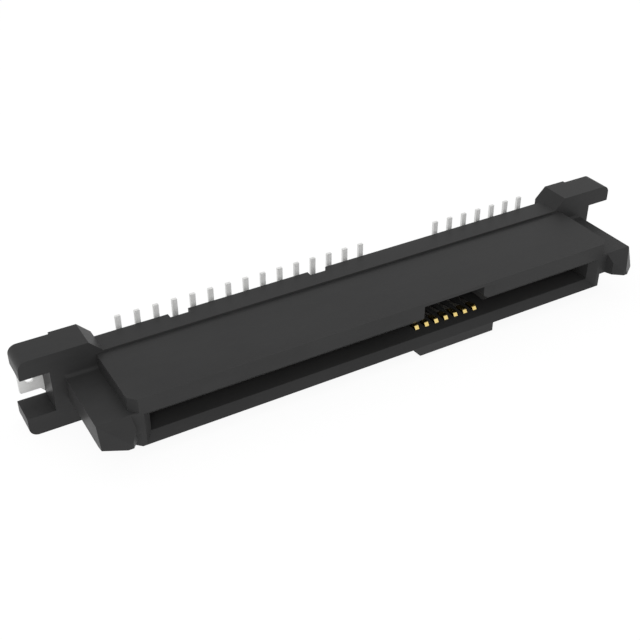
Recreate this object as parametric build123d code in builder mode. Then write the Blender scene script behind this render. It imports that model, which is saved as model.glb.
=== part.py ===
from build123d import *
import os

os.makedirs("parts", exist_ok=True)

# Millimetres. X runs along the connector, -Y is the mating side, +Y the board side.
# The origin is the centre of the box around the part, on the plane its ears stand on.

# Contact rows
contact_pitch = 1.27
power_ways = 15
signal_ways = 7
row_gap_places = 4
key_pitch = 0.80
key_ways = 7
early_ways = (4, 12)
early_advance = 0.40

# Nose with the slot for the mating tongue
slot_height = 1.27
slot_depth = 5.00
slot_end_margin = 0.975
lead_in = 0.50
wall_above = 1.65
wall_below = 0.54
nose_end_wall = 1.27
nose_length = 5.34
nose_corner = 0.50

# Bump under the second-side contacts and window above them
bump_drop = 0.65
bump_half = 3.02
bump_slope = 0.60
window_half = 2.90
window_skin = 0.24
window_rib = 0.90
window_relief = 0.09
window_corner = 0.30

# Rear block
block_rise = 0.17
block_depth = 1.66
notch_width = 1.38
notch_depth = 0.42
notch_height = 0.90

# Ears
ear_depth = 2.28
ear_rise = 0.83
ear_setback = 0.36
ear_web = 0.85
ear_reach = 1.80
arm_above = 1.25
arm_below = 1.34
ear_corner = 0.58
seat_setback = 0.05

# Guide posts
post_width = 2.08
post_height = 1.55
post_reach = 6.71
post_slope_length = 1.45
post_slope_drop = 0.82
post_belly_length = 1.50
post_belly_rise = 0.34
post_bevel_width = 1.27
post_bevel_length = 1.40
post_bevel_lean = 0.51
post_heel_width = 0.46
post_heel_length = 0.70
post_root = 0.25

# Contact strip
strip = 0.20
beam_width = 0.30
shank_width = 0.50
key_shank_width = 0.36
tail_width = 0.35
barb = 0.04
barb_ramp = 0.25
barb_crest = 0.12
crest_stand = 0.24
crest_from_mouth = 1.60
crest_radius = 0.14
tip_run = 0.22
tip_inset = 0.14
beam_run = 1.60
upper_inset = 0.45
lower_inset = 0.29
foot_overhang = 0.63
bend_radius = 0.25
shoulder_inset = 0.20

# Room for the contacts in the housing
cavity_width = 0.60
key_cavity_width = 0.46
cavity_room = 0.60
key_cavity_room = 0.32
cavity_front_gap = 0.12

# Board locks
lock_height = 1.70
lock_body_height = 2.30
lock_neck = 0.25
lock_end_gap = 0.25
lock_drop = 0.16
lock_hole = 0.50
lock_hole_inset = 0.70
lock_corner = 0.15
lock_leg = 1.40
lock_leg_height = 1.10
lock_bend = 0.20
lock_clearance = 0.02

# Heights, measured from the plane under the ears
nose_height = wall_above + slot_height + wall_below
block_height = nose_height + 2 * block_rise
ear_height = block_height + 2 * ear_rise
mid_z = ear_height / 2
nose_bottom = mid_z - nose_height / 2
nose_top = mid_z + nose_height / 2
slot_floor = nose_bottom + wall_below
slot_ceiling = slot_floor + slot_height
slot_mid = slot_floor + slot_height / 2
block_top = mid_z + block_height / 2
block_bottom = mid_z - block_height / 2
post_top = mid_z + post_height / 2
post_bottom = mid_z - post_height / 2

# Stations from the board plane forward
overall_depth = post_reach + ear_depth
board_y = overall_depth / 2
riser_y = board_y - ear_depth
block_back_y = riser_y + block_depth
nose_y = riser_y - nose_length
slot_back_y = nose_y + slot_depth
tip_y = riser_y - post_reach
crest_y = nose_y + crest_from_mouth

# Half widths along X
row_length = (power_ways + row_gap_places + signal_ways - 1) * contact_pitch
slot_half = row_length / 2 + slot_end_margin
nose_half = slot_half + nose_end_wall
post_outer = nose_half + post_width
ear_inner = nose_half + ear_setback
block_half = ear_inner - ear_rise
gap_inner = post_outer + ear_web
ear_outer = gap_inner + ear_reach
seat_inner = post_outer + seat_setback

# Contact places along X
signal_first_x = row_length / 2
power_first_x = -row_length / 2 + (power_ways - 1) * contact_pitch
signal_last_x = signal_first_x - (signal_ways - 1) * contact_pitch
key_x = (power_first_x + signal_last_x) / 2
key_first_x = key_x + (key_ways - 1) / 2 * key_pitch


def power_x(way):
    return power_first_x - (way - 1) * contact_pitch


def signal_x(way):
    return signal_first_x - (way - 1) * contact_pitch


def key_way_x(place):
    return key_first_x - place * key_pitch


power_places = [power_x(way) for way in range(1, power_ways + 1)]
signal_places = [signal_x(way) for way in range(1, signal_ways + 1)]
key_places = [key_way_x(place) for place in range(key_ways)]
upper_places = power_places + signal_places
early_places = [power_x(way) for way in early_ways]

# Heights of the contact rows
upper_shank_z = slot_ceiling + upper_inset
lower_shank_z = slot_floor - lower_inset
cavity_roof = upper_shank_z + cavity_room
key_cavity_floor = lower_shank_z - key_cavity_room
cavity_front_y = crest_y - tip_run - cavity_front_gap
passage_length = block_back_y - slot_back_y
foot_y = board_y - strip / 2

# Board lock places on the right-hand ear
gap_top = ear_height - arm_above
gap_bottom = arm_below
lock_mid_z = (gap_top + gap_bottom) / 2 - lock_drop
lock_outer = ear_outer - lock_end_gap
lock_front_y = board_y - strip
leg_x = seat_inner + lock_clearance + strip / 2
leg_end_y = lock_front_y - lock_leg


# One contact, bent from strip in the YZ plane at X = 0. The wall is the slot face it
# springs from, and into_wall is the Z direction from the slot into that wall.
def contact_shape(wall_z, into_wall, inset, foot_z, shank, advance):
    shank_z = wall_z + into_wall * inset
    crest_z = wall_z - into_wall * (crest_stand - strip / 2)
    tip_z = wall_z + into_wall * tip_inset
    front = crest_y - advance
    with BuildPart() as shape:
        # Side view: tip, crest, beam, shank and foot as one bent strip
        with BuildSketch(Plane.YZ):
            with BuildLine():
                mid_beam = (front + beam_run / 2, (crest_z + shank_z) / 2)
                FilletPolyline((front - tip_run, tip_z), (front, crest_z), mid_beam, radius=crest_radius)
                FilletPolyline(
                    mid_beam,
                    (front + beam_run, shank_z),
                    (foot_y, shank_z),
                    (foot_y, foot_z),
                    radius=bend_radius,
                )
            trace(line_width=strip)
        extrude(amount=shank, both=True)
        # Plan view: narrow beam, wider shank with a barb on each side, narrow foot
        with BuildSketch(Plane.XY):
            with BuildLine():
                barb_y = slot_back_y + passage_length / 2
                shoulder_y = block_back_y - shoulder_inset
                Polyline(
                    (0, front - tip_run - strip),
                    (beam_width / 2, front - tip_run - strip),
                    (beam_width / 2, front),
                    (shank / 2, slot_back_y),
                    (shank / 2, barb_y - barb_ramp),
                    (shank / 2 + barb, barb_y),
                    (shank / 2 + barb, barb_y + barb_crest),
                    (shank / 2, barb_y + barb_crest),
                    (shank / 2, shoulder_y),
                    (tail_width / 2, shoulder_y),
                    (tail_width / 2, board_y + strip),
                    (0, board_y + strip),
                    close=True,
                )
            make_face()
            mirror(about=Plane.YZ)
        extrude(amount=ear_height, mode=Mode.INTERSECT)
    return shape.part


# Guide post on the right of the nose, with its pointed tip
with BuildPart() as post:
    # Plan view: small bevel on the side next to the nose, and the nose corner filled
    with BuildSketch(Plane.XY):
        with BuildLine():
            Polyline(
                (nose_half, riser_y),
                (nose_half, tip_y + post_heel_length),
                (nose_half + post_heel_width, tip_y),
                (post_outer, tip_y),
                (post_outer, riser_y),
                close=True,
            )
        make_face()
        with Locations((nose_half, nose_y)):
            Rectangle(nose_corner, nose_corner, align=(Align.MAX, Align.MIN))
    extrude(amount=ear_height)
    # Side view: slope above the tip and belly below it
    with BuildSketch(Plane.YZ):
        with BuildLine():
            Polyline(
                (riser_y, post_bottom),
                (riser_y, post_top),
                (tip_y + post_slope_length, post_top),
                (tip_y, post_top - post_slope_drop),
                (tip_y, post_bottom + post_belly_rise),
                (tip_y + post_belly_length, post_bottom),
                close=True,
            )
        make_face()
    extrude(amount=ear_outer, mode=Mode.INTERSECT)
    # Outer bevel, leaning so that it reaches further forward at the bottom
    bevel_top = Vector(post_outer, tip_y + post_bevel_length, post_top)
    bevel_low = bevel_top + Vector(0, -post_bevel_lean, -post_height)
    bevel_tip = Vector(post_outer - post_bevel_width, tip_y, post_bottom + post_belly_rise)
    bevel_normal = (bevel_low - bevel_top).cross(bevel_tip - bevel_top)
    split(bisect_by=Plane(origin=bevel_top, z_dir=bevel_normal), keep=Keep.TOP)


# Root of the post, its top rounded up into the front of the ear
with BuildPart() as post_foot:
    with BuildSketch(Plane.YZ.offset(nose_half - nose_corner)):
        with Locations((riser_y, post_top)):
            Rectangle(post_root, post_root, align=(Align.MAX, Align.MIN))
        with Locations((riser_y - post_root, post_top + post_root)):
            Circle(post_root, mode=Mode.SUBTRACT)
    extrude(amount=nose_corner + post_width)


# Right-hand ear, a C seen from the mating side
with BuildPart() as ear:
    with BuildSketch(Plane.XZ.offset(-board_y)):
        with BuildLine():
            Polyline(
                (block_half, block_top),
                (ear_inner, ear_height),
                (ear_outer, ear_height),
                (ear_outer, gap_top),
                (gap_inner, gap_top),
                (gap_inner, gap_bottom),
                (ear_outer, gap_bottom),
                (ear_outer, 0),
                (ear_inner, 0),
                (block_half, block_bottom),
                close=True,
            )
        make_face()
    extrude(amount=ear_depth)
    end_edges = ear.edges().filter_by(Axis.Y).group_by(Axis.X)[-1].sort_by(Axis.Z)
    fillet([end_edges[0], end_edges[-1]], radius=ear_corner)
    # Seat for the board lock on the board side
    with BuildSketch(Plane.XZ.offset(-board_y)):
        with Locations((seat_inner, 0)):
            Rectangle(ear_outer, 2 * ear_height, align=(Align.MIN, Align.CENTER))
    extrude(amount=strip, mode=Mode.SUBTRACT)
    # Slot for the leg of the board lock, flared where the leg bends
    with BuildSketch(Plane.XY.offset(lock_mid_z - lock_leg_height / 2)):
        with BuildLine():
            slot_near = leg_x - strip / 2 - lock_clearance
            slot_far = leg_x + strip / 2 + lock_clearance
            slot_end = leg_end_y - lock_clearance
            Polyline(
                (slot_near, board_y),
                (slot_near, slot_end),
                (slot_far, slot_end),
                (slot_far, lock_front_y - lock_bend),
                (slot_far + lock_bend, lock_front_y),
                (slot_far + lock_bend, board_y),
                close=True,
            )
        make_face()
    extrude(amount=lock_leg_height, mode=Mode.SUBTRACT)


# Housing, one moulding
with BuildPart() as housing:
    with BuildSketch(Plane.XZ.offset(-riser_y)):
        with Locations((0, mid_z)):
            Rectangle(2 * nose_half, nose_height)
    extrude(amount=nose_length)
    chamfer(housing.edges().filter_by(Axis.Z).group_by(Axis.Y)[0], length=nose_corner)
    # Slot and its lead-in
    with BuildSketch(Plane.XZ.offset(-nose_y)):
        with Locations((0, slot_mid)):
            Rectangle(2 * slot_half, slot_height)
    extrude(amount=-slot_depth, mode=Mode.SUBTRACT)
    mouth = housing.faces().sort_by(Axis.Y)[0].inner_wires()[0]
    chamfer(mouth.edges(), length=lead_in)
    # Bump under the second-side contacts
    with BuildSketch(Plane.XZ.offset(-nose_y)):
        with BuildLine():
            Polyline(
                (key_x - bump_half - bump_slope, nose_bottom),
                (key_x + bump_half, nose_bottom),
                (key_x + bump_half, nose_bottom - bump_drop),
                (key_x - bump_half, nose_bottom - bump_drop),
                close=True,
            )
        make_face()
    extrude(amount=-nose_length)
    # Rear block, guide posts and ears
    with BuildSketch(Plane.XZ.offset(-riser_y)):
        with Locations((0, mid_z)):
            Rectangle(2 * ear_inner - ear_rise, block_height)
    extrude(amount=-block_depth)
    for end_piece in (post.part, post_foot.part, ear.part):
        add(end_piece)
        add(mirror(end_piece, about=Plane.YZ, mode=Mode.PRIVATE))
    # Rib on the right of the window, its front face running slightly back towards the window
    window_right = key_x + window_half - window_rib
    with BuildSketch(Plane.XY.offset(slot_mid)):
        with BuildLine():
            Polyline(
                (window_right, nose_y),
                (window_right + window_rib, nose_y),
                (window_right, nose_y + window_relief),
                close=True,
            )
        make_face()
    extrude(amount=nose_top - window_skin - slot_mid, mode=Mode.SUBTRACT)
    # Window through to the slot
    with BuildSketch(Plane.XZ.offset(-nose_y)):
        with BuildLine():
            mouth_top = slot_ceiling + lead_in
            corner_start = (window_right, mouth_top + window_corner)
            corner_end = (window_right + window_corner, mouth_top)
            RadiusArc(corner_start, corner_end, -window_corner)
            Polyline(
                corner_end,
                (window_right + window_corner, slot_mid),
                (key_x - window_half, slot_mid),
                (key_x - window_half, nose_top - window_skin),
                (window_right, nose_top - window_skin),
                corner_start,
            )
        make_face()
    extrude(amount=-slot_depth, mode=Mode.SUBTRACT)
    # Notches behind the two early contacts
    with Locations(*[(x, block_back_y, block_top) for x in early_places]):
        Box(notch_width, 2 * notch_depth, 2 * notch_height, mode=Mode.SUBTRACT)
    # Cavities in the ceiling and the floor of the slot
    cavity_align = (Align.CENTER, Align.MIN, Align.MIN)
    for x in upper_places:
        advance = early_advance if x in early_places else 0
        with Locations((x, cavity_front_y - advance, slot_mid)):
            Box(
                cavity_width,
                slot_back_y - cavity_front_y + advance,
                cavity_roof - slot_mid,
                align=cavity_align,
                mode=Mode.SUBTRACT,
            )
    with Locations(*[(x, cavity_front_y, key_cavity_floor) for x in key_places]):
        Box(
            key_cavity_width,
            slot_back_y - cavity_front_y,
            slot_mid - key_cavity_floor,
            align=cavity_align,
            mode=Mode.SUBTRACT,
        )
    # Passages through the rear wall, as thick as the strip and as wide as the barbs
    passage_y = slot_back_y + passage_length / 2
    with Locations(*[(x, passage_y, upper_shank_z) for x in upper_places]):
        Box(shank_width + 2 * barb, passage_length, strip, mode=Mode.SUBTRACT)
    with Locations(*[(x, passage_y, lower_shank_z) for x in key_places]):
        Box(key_shank_width + 2 * barb, passage_length, strip, mode=Mode.SUBTRACT)
housing.part.label = "housing"
export_step(housing.part, "parts/housing.step")


# Right-hand board lock: a plate in the ear's seat and a leg bent forward into the ear
with BuildPart() as board_lock_right:
    with BuildSketch(Plane.XZ.offset(-lock_front_y)):
        with BuildLine():
            body_inner = leg_x + strip / 2 + lock_bend
            tongue_start = gap_inner + lock_neck
            Polyline(
                (body_inner, lock_mid_z - lock_body_height / 2),
                (gap_inner, lock_mid_z - lock_body_height / 2),
                (tongue_start, lock_mid_z - lock_height / 2),
                (lock_outer, lock_mid_z - lock_height / 2),
                (lock_outer, lock_mid_z + lock_height / 2),
                (tongue_start, lock_mid_z + lock_height / 2),
                (gap_inner, lock_mid_z + lock_body_height / 2),
                (body_inner, lock_mid_z + lock_body_height / 2),
                close=True,
            )
        make_face()
        with Locations((lock_outer - lock_hole_inset, lock_mid_z)):
            Circle(lock_hole / 2, mode=Mode.SUBTRACT)
    extrude(amount=-strip)
    fillet(board_lock_right.edges().filter_by(Axis.Y).group_by(Axis.X)[-1], radius=lock_corner)
    with BuildSketch(Plane.XY.offset(lock_mid_z - lock_leg_height / 2)):
        with BuildLine():
            FilletPolyline(
                (gap_inner, foot_y),
                (leg_x, foot_y),
                (leg_x, leg_end_y),
                radius=lock_bend,
            )
        trace(line_width=strip)
    extrude(amount=lock_leg_height)
board_lock_right.part.label = "board_lock_right"
export_step(board_lock_right.part, "parts/board_lock_right.step")

with BuildPart() as board_lock_left:
    mirror(board_lock_right.part, about=Plane.YZ)
board_lock_left.part.label = "board_lock_left"
export_step(board_lock_left.part, "parts/board_lock_left.step")


# Contacts
foot_top = block_top + foot_overhang
foot_bottom = block_bottom - foot_overhang
upper_shape = contact_shape(slot_ceiling, 1, upper_inset, foot_top, shank_width, 0)
early_shape = contact_shape(slot_ceiling, 1, upper_inset, foot_top, shank_width, early_advance)
key_shape = contact_shape(slot_floor, -1, lower_inset, foot_bottom, key_shank_width, 0)

placements = []
for way in range(1, power_ways + 1):
    shape = early_shape if way in early_ways else upper_shape
    placements.append((f"contact_p{way}", power_x(way), shape))
for way in range(1, signal_ways + 1):
    placements.append((f"contact_s{way}", signal_x(way), upper_shape))
for place in range(key_ways):
    placements.append((f"contact_s{signal_ways + 1 + place}", key_way_x(place), key_shape))

for name, x, shape in placements:
    with BuildPart() as contact:
        with Locations((x, 0, 0)):
            add(shape)
    contact.part.label = name
    export_step(contact.part, f"parts/{name}.step")
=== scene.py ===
import math

import bpy
import bmesh
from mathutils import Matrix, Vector

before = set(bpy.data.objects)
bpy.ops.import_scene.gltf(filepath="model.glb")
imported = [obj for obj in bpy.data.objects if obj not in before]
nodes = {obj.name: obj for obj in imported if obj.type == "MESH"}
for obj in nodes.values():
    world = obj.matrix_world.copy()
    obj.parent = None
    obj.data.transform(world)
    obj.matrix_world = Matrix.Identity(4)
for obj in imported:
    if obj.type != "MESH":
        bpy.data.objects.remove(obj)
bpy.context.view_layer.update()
print("frame loaded:", len(nodes), "nodes")

mm = 0.001
white = (1, 1, 1, 1)


# small helpers for shader trees
def addNode(tree, kind, inputs=None, **settings):
    node = tree.nodes.new(kind)
    for name, value in settings.items():
        setattr(node, name, value)
    for name, value in (inputs or {}).items():
        node.inputs[name].default_value = value
    return node


def newMaterial(name):
    material = bpy.data.materials.new(name)
    material.use_nodes = True
    tree = material.node_tree
    return material, tree, tree.nodes["Principled BSDF"]


def noiseOn(tree, pattern):
    # noise with its own number of cycles per millimetre along X, Y and Z
    coords = addNode(tree, "ShaderNodeTexCoord")
    scale = [cycles / mm for cycles in pattern["cycles"]]
    mapping = addNode(tree, "ShaderNodeMapping", {"Scale": scale})
    grade = {"Scale": 1.0, "Detail": pattern["detail"], "Roughness": pattern["rough"]}
    noise = addNode(tree, "ShaderNodeTexNoise", grade)
    tree.links.new(coords.outputs["Object"], mapping.inputs["Vector"])
    tree.links.new(mapping.outputs["Vector"], noise.inputs["Vector"])
    return noise.outputs["Fac"]


def remap(tree, value, source, target=(0, 1)):
    # the source range of the value becomes the target range, and stops at its ends
    limits = {"From Min": source[0], "From Max": source[1], "To Min": target[0], "To Max": target[1]}
    node = addNode(tree, "ShaderNodeMapRange", limits)
    tree.links.new(value, node.inputs["Value"])
    return node.outputs["Result"]


def feed(tree, socket, value):
    # a socket takes an output as a link, and a plain value as its own
    if isinstance(value, bpy.types.NodeSocket):
        tree.links.new(value, socket)
    else:
        socket.default_value = value


def mixColour(tree, share, first, second):
    node = addNode(tree, "ShaderNodeMix", data_type="RGBA")
    feed(tree, node.inputs[0], share)
    feed(tree, node.inputs[6], first)
    feed(tree, node.inputs[7], second)
    return node.outputs[2]


def mixValue(tree, share, first, second):
    node = addNode(tree, "ShaderNodeMix", data_type="FLOAT")
    feed(tree, node.inputs[0], share)
    feed(tree, node.inputs[2], first)
    feed(tree, node.inputs[3], second)
    return node.outputs[0]


def bumpFrom(tree, height, look):
    grain = {"Strength": look["grainStrength"], "Distance": look["grainDepth"]}
    node = addNode(tree, "ShaderNodeBump", grain)
    tree.links.new(height, node.inputs["Height"])
    return node.outputs["Normal"]


# moulded housing: a satin black plastic with short glass fibres in it
housingLook = {
    "dark": (0.0325, 0.0325, 0.0327, 1),
    "light": (0.0365, 0.0365, 0.0367, 1),
    "fibre": (0.045, 0.045, 0.045, 1),
    "fibreShare": 0.25,
    "fibreRange": (0.55, 0.75),
    # the glass fibres lie along the flow of the melt
    "fibreNoise": {"cycles": (1.6, 16.0, 16.0), "detail": 2, "rough": 0.5},
    "cloudNoise": {"cycles": (0.25, 0.6, 0.6), "detail": 4, "rough": 0.6},
    "tintRange": (0.3, 0.7),
    "roughRange": (0.25, 0.75),
    "roughness": (0.34, 0.42),
    "grainNoise": {"cycles": (14.0, 14.0, 14.0), "detail": 3, "rough": 0.6},
    "grainDepth": 0.003 * mm,
    "grainStrength": 0.5,
    "specular": 0.07,
}


def mouldedPlastic(look):
    material, tree, bsdf = newMaterial("mouldedBlack")
    cloud = noiseOn(tree, look["cloudNoise"])
    grain = noiseOn(tree, look["grainNoise"])
    fibre = noiseOn(tree, look["fibreNoise"])
    tint = remap(tree, cloud, look["tintRange"])
    body = mixColour(tree, tint, look["dark"], look["light"])
    streak = remap(tree, fibre, look["fibreRange"], (0, look["fibreShare"]))
    colour = mixColour(tree, streak, body, look["fibre"])
    feed(tree, bsdf.inputs["Base Color"], colour)
    rough = remap(tree, cloud, look["roughRange"], look["roughness"])
    feed(tree, bsdf.inputs["Roughness"], rough)
    feed(tree, bsdf.inputs["Normal"], bumpFrom(tree, grain, look))
    bsdf.inputs["Specular IOR Level"].default_value = look["specular"]
    return material


# contacts: gold where the plug touches, nickel in the housing, tin on the feet
contactLook = {
    "gold": (0.86, 0.68, 0.27, 1),
    "goldDeep": (0.78, 0.57, 0.19, 1),
    "goldRough": 0.16,
    "goldEndsAt": -0.95 * mm,
    "nickel": (0.50, 0.48, 0.44, 1),
    "nickelRough": 0.45,
    "tinStartsAt": 2.0 * mm,
    "tin": (0.72, 0.72, 0.71, 1),
    "tinBright": (0.80, 0.80, 0.79, 1),
    "tinRough": 0.62,
    "tinMetal": 0.12,  # matt tin scatters more than it mirrors
    "platingEdge": 0.08 * mm,
    "mottleNoise": {"cycles": (5.0, 5.0, 5.0), "detail": 4, "rough": 0.65},
    "tintRange": (0.3, 0.7),
    "roughWander": 0.10,
    "millNoise": {"cycles": (22.0, 1.2, 1.2), "detail": 2, "rough": 0.5},
    "grainDepth": 0.003 * mm,
    "grainStrength": 0.4,
}


def platedContact(look):
    material, tree, bsdf = newMaterial("platedContact")
    coords = addNode(tree, "ShaderNodeTexCoord")
    parts = addNode(tree, "ShaderNodeSeparateXYZ")
    tree.links.new(coords.outputs["Object"], parts.inputs["Vector"])
    depth = parts.outputs["Y"]
    pastGold = remap(tree, depth, (look["goldEndsAt"], look["goldEndsAt"] + look["platingEdge"]))
    onTin = remap(tree, depth, (look["tinStartsAt"], look["tinStartsAt"] + look["platingEdge"]))
    mottle = noiseOn(tree, look["mottleNoise"])
    mill = noiseOn(tree, look["millNoise"])
    tint = remap(tree, mottle, look["tintRange"])
    gold = mixColour(tree, tint, look["goldDeep"], look["gold"])
    tin = mixColour(tree, tint, look["tin"], look["tinBright"])
    plated = mixColour(tree, pastGold, gold, look["nickel"])
    feed(tree, bsdf.inputs["Base Color"], mixColour(tree, onTin, plated, tin))
    rough = mixValue(tree, pastGold, look["goldRough"], look["nickelRough"])
    rough = mixValue(tree, onTin, rough, look["tinRough"])
    wander = addNode(tree, "ShaderNodeMath", operation="MULTIPLY_ADD")
    feed(tree, wander.inputs[0], mottle)
    wander.inputs[1].default_value = look["roughWander"]
    feed(tree, wander.inputs[2], rough)
    feed(tree, bsdf.inputs["Roughness"], wander.outputs[0])
    feed(tree, bsdf.inputs["Normal"], bumpFrom(tree, mill, look))
    feed(tree, bsdf.inputs["Metallic"], mixValue(tree, onTin, 1.0, look["tinMetal"]))
    return material


# board locks: tinned sheet metal
lockLook = {
    "dull": (0.78, 0.78, 0.77, 1),
    "bright": (0.86, 0.86, 0.85, 1),
    "mottleNoise": {"cycles": (3.0, 3.0, 3.0), "detail": 5, "rough": 0.65},
    "tintRange": (0.3, 0.7),
    "roughRange": (0.25, 0.75),
    "roughness": (0.56, 0.68),
    "rollNoise": {"cycles": (1.2, 1.2, 26.0), "detail": 2, "rough": 0.5},
    "grainDepth": 0.004 * mm,
    "grainStrength": 0.4,
    "metal": 0.10,
}


def tinnedSheet(look):
    material, tree, bsdf = newMaterial("tinnedSheet")
    mottle = noiseOn(tree, look["mottleNoise"])
    roll = noiseOn(tree, look["rollNoise"])
    tint = remap(tree, mottle, look["tintRange"])
    feed(tree, bsdf.inputs["Base Color"], mixColour(tree, tint, look["dull"], look["bright"]))
    rough = remap(tree, mottle, look["roughRange"], look["roughness"])
    feed(tree, bsdf.inputs["Roughness"], rough)
    feed(tree, bsdf.inputs["Normal"], bumpFrom(tree, roll, look))
    bsdf.inputs["Metallic"].default_value = look["metal"]
    return material


finishes = {
    "housing": mouldedPlastic(housingLook),
    "contact": platedContact(contactLook),
    "board_lock": tinnedSheet(lockLook),
}
for node in nodes.values():
    for place in node.material_slots:
        place.material = finishes[place.material.name]
print("finishes set:", len(finishes))

# floor: glows nearly white, and keeps a soft shadow of the object
floorLook = {
    "radius": 0.8,
    "segments": 96,
    "below": 0.002 * mm,
    "pale": (0.94, 0.94, 0.94, 1),
    "paler": (0.96, 0.96, 0.96, 1),
    "cloudNoise": {"cycles": (0.05, 0.05, 0.05), "detail": 3, "rough": 0.5},
    "rough": 0.9,
    "specular": 0.0,
    "glow": 1.03,
    "glowShare": 0.89,
}


def makeFloor(look):
    shape = bmesh.new()
    bmesh.ops.create_circle(shape, cap_ends=True, radius=look["radius"], segments=look["segments"])
    bmesh.ops.translate(shape, verts=shape.verts, vec=(0, 0, -look["below"]))
    mesh = bpy.data.meshes.new("floor")
    shape.to_mesh(mesh)
    shape.free()
    floor = bpy.data.objects.new("floor", mesh)
    bpy.context.scene.collection.objects.link(floor)
    material, tree, bsdf = newMaterial("paleFloor")
    cloud = noiseOn(tree, look["cloudNoise"])
    feed(tree, bsdf.inputs["Base Color"], mixColour(tree, cloud, look["pale"], look["paler"]))
    bsdf.inputs["Roughness"].default_value = look["rough"]
    bsdf.inputs["Specular IOR Level"].default_value = look["specular"]
    glow = addNode(tree, "ShaderNodeEmission", {"Color": white, "Strength": look["glow"]})
    mix = addNode(tree, "ShaderNodeMixShader", {"Fac": look["glowShare"]})
    tree.links.new(bsdf.outputs[0], mix.inputs[1])
    tree.links.new(glow.outputs[0], mix.inputs[2])
    tree.links.new(mix.outputs[0], tree.nodes["Material Output"].inputs["Surface"])
    mesh.materials.append(material)


makeFloor(floorLook)

# light: an even white room, and a weak lamp beside the camera that reaches into the slot
lightLook = {
    "room": 0.84,
    "lamps": {
        "fill": {"place": (-0.0443, -0.0671, 0.0572), "size": 0.03, "power": 0.018},
    },
}


def seenDirectly(tree):
    # 1 for rays from the camera, and for those that metal and gloss send on
    path = addNode(tree, "ShaderNodeLightPath")
    total = path.outputs["Is Camera Ray"]
    for name in ("Is Glossy Ray", "Is Transmission Ray"):
        add = addNode(tree, "ShaderNodeMath", operation="ADD", use_clamp=True)
        tree.links.new(total, add.inputs[0])
        tree.links.new(path.outputs[name], add.inputs[1])
        total = add.outputs[0]
    return total


def lightRoom(look):
    world = bpy.data.worlds.new("room")
    bpy.context.scene.world = world
    world.use_nodes = True
    tree = world.node_tree
    back = tree.nodes["Background"]
    back.inputs["Color"].default_value = white
    back.inputs["Strength"].default_value = look["room"]
    direct = addNode(tree, "ShaderNodeBackground", {"Color": white, "Strength": 1.0})
    mix = addNode(tree, "ShaderNodeMixShader")
    tree.links.new(seenDirectly(tree), mix.inputs[0])
    tree.links.new(back.outputs[0], mix.inputs[1])
    tree.links.new(direct.outputs[0], mix.inputs[2])
    tree.links.new(mix.outputs[0], tree.nodes["World Output"].inputs["Surface"])
    for name, lamp in look["lamps"].items():
        data = bpy.data.lights.new(name, "AREA")
        data.shape = "DISK"
        data.size = lamp["size"]
        data.energy = lamp["power"]
        light = bpy.data.objects.new(name, data)
        bpy.context.scene.collection.objects.link(light)
        light.location = lamp["place"]
        light.rotation_mode = "QUATERNION"
        light.rotation_quaternion = (-Vector(lamp["place"])).to_track_quat("-Z", "Y")


lightRoom(lightLook)
print("floor and lamps set")

# camera, where the photo was taken from
cameraLook = {
    "place": (-0.031658, -0.047945, 0.040882),
    "downTilt": 34.053,
    "turn": -30.10,
    "lens": 57.99,
    "sensor": 36,
    "nearest": 0.001,
    "farthest": 10,
}


def placeCamera(look):
    data = bpy.data.cameras.new("camera")
    data.sensor_width = look["sensor"]
    data.lens = look["lens"]
    data.clip_start = look["nearest"]
    data.clip_end = look["farthest"]
    camera = bpy.data.objects.new("camera", data)
    bpy.context.scene.collection.objects.link(camera)
    camera.location = look["place"]
    camera.rotation_euler = (math.radians(90 - look["downTilt"]), 0, math.radians(look["turn"]))
    bpy.context.scene.camera = camera


placeCamera(cameraLook)
bpy.context.scene.view_settings.view_transform = "Standard"
print("camera set")
